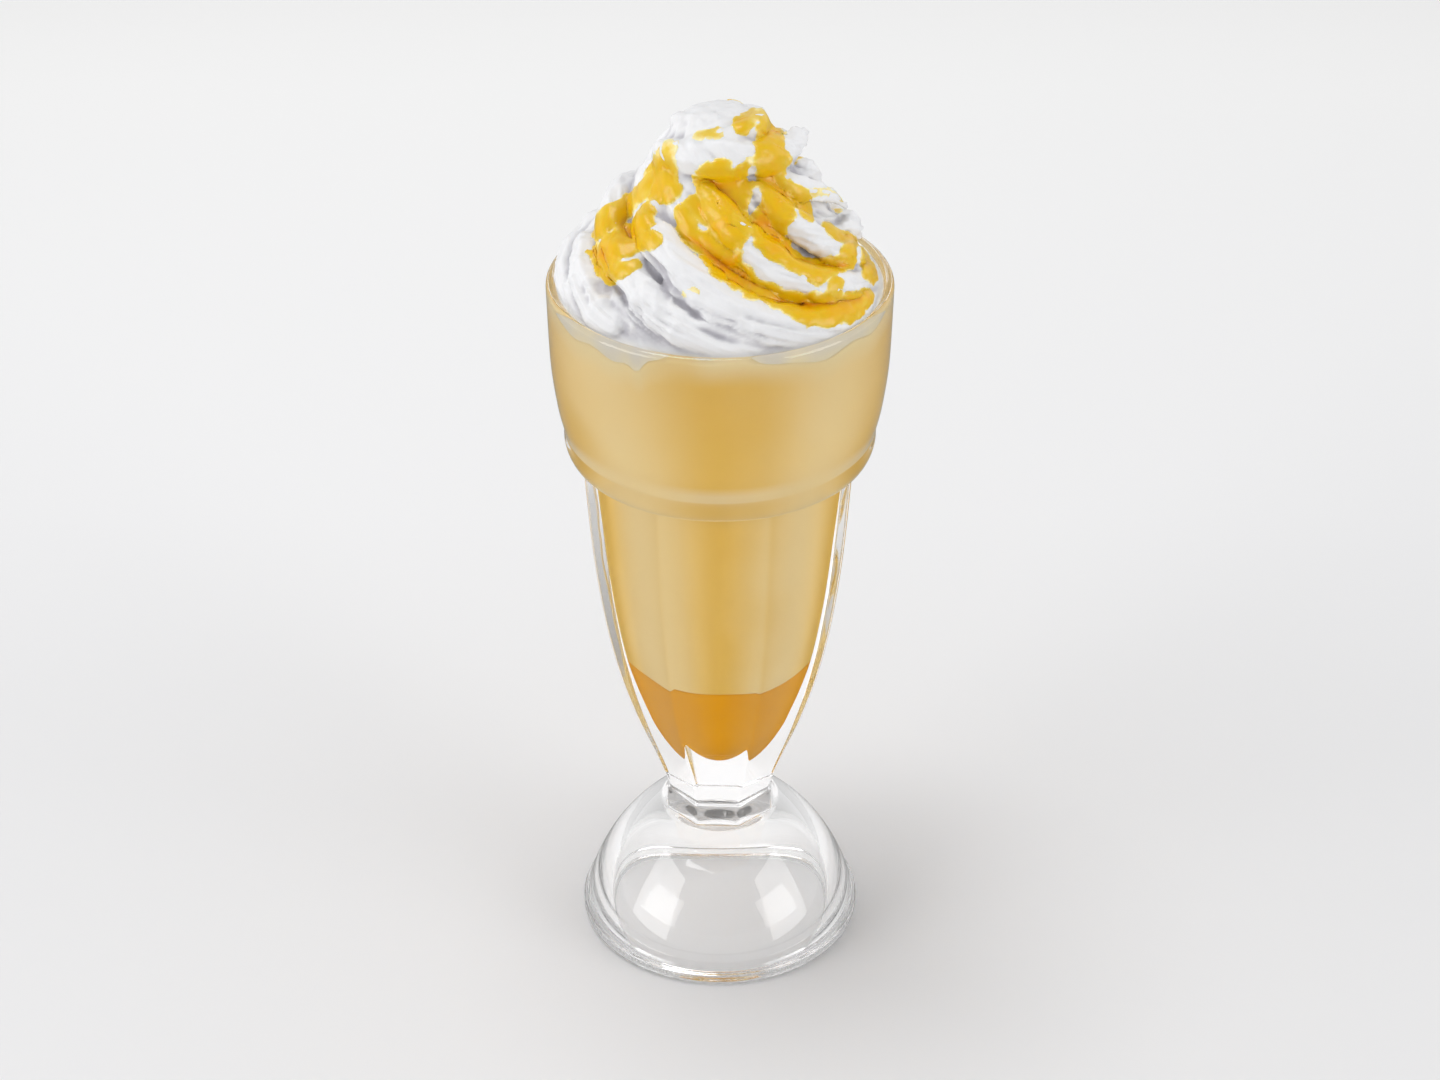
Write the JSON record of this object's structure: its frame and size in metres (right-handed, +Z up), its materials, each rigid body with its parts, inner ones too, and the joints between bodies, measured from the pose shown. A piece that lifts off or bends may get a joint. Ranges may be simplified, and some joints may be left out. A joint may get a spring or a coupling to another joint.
{
  "type": "milkshake in a glass",
  "caption": "Mango milkshake in a footed, panelled soda glass, with a layer of mango sauce at the bottom and piped whipped cream on top.",
  "frame": {"origin": "on the table, under the middle of the glass's foot", "axes": "+Z up along the axis of the glass, -Y the front, +X to the right seen from the front"},
  "size_m": [0.0836, 0.0836, 0.236],
  "materials": {
    "clear_glass": "polished",
    "mango_sauce": "gloss",
    "milkshake": "satin",
    "whipped_cream": "satin"
  },
  "bodies": {
    "root": {"glass": "clear_glass", "mango_sauce": "mango_sauce", "milkshake": "milkshake", "whipped_cream": "whipped_cream"}
  },
  "joints": []
}
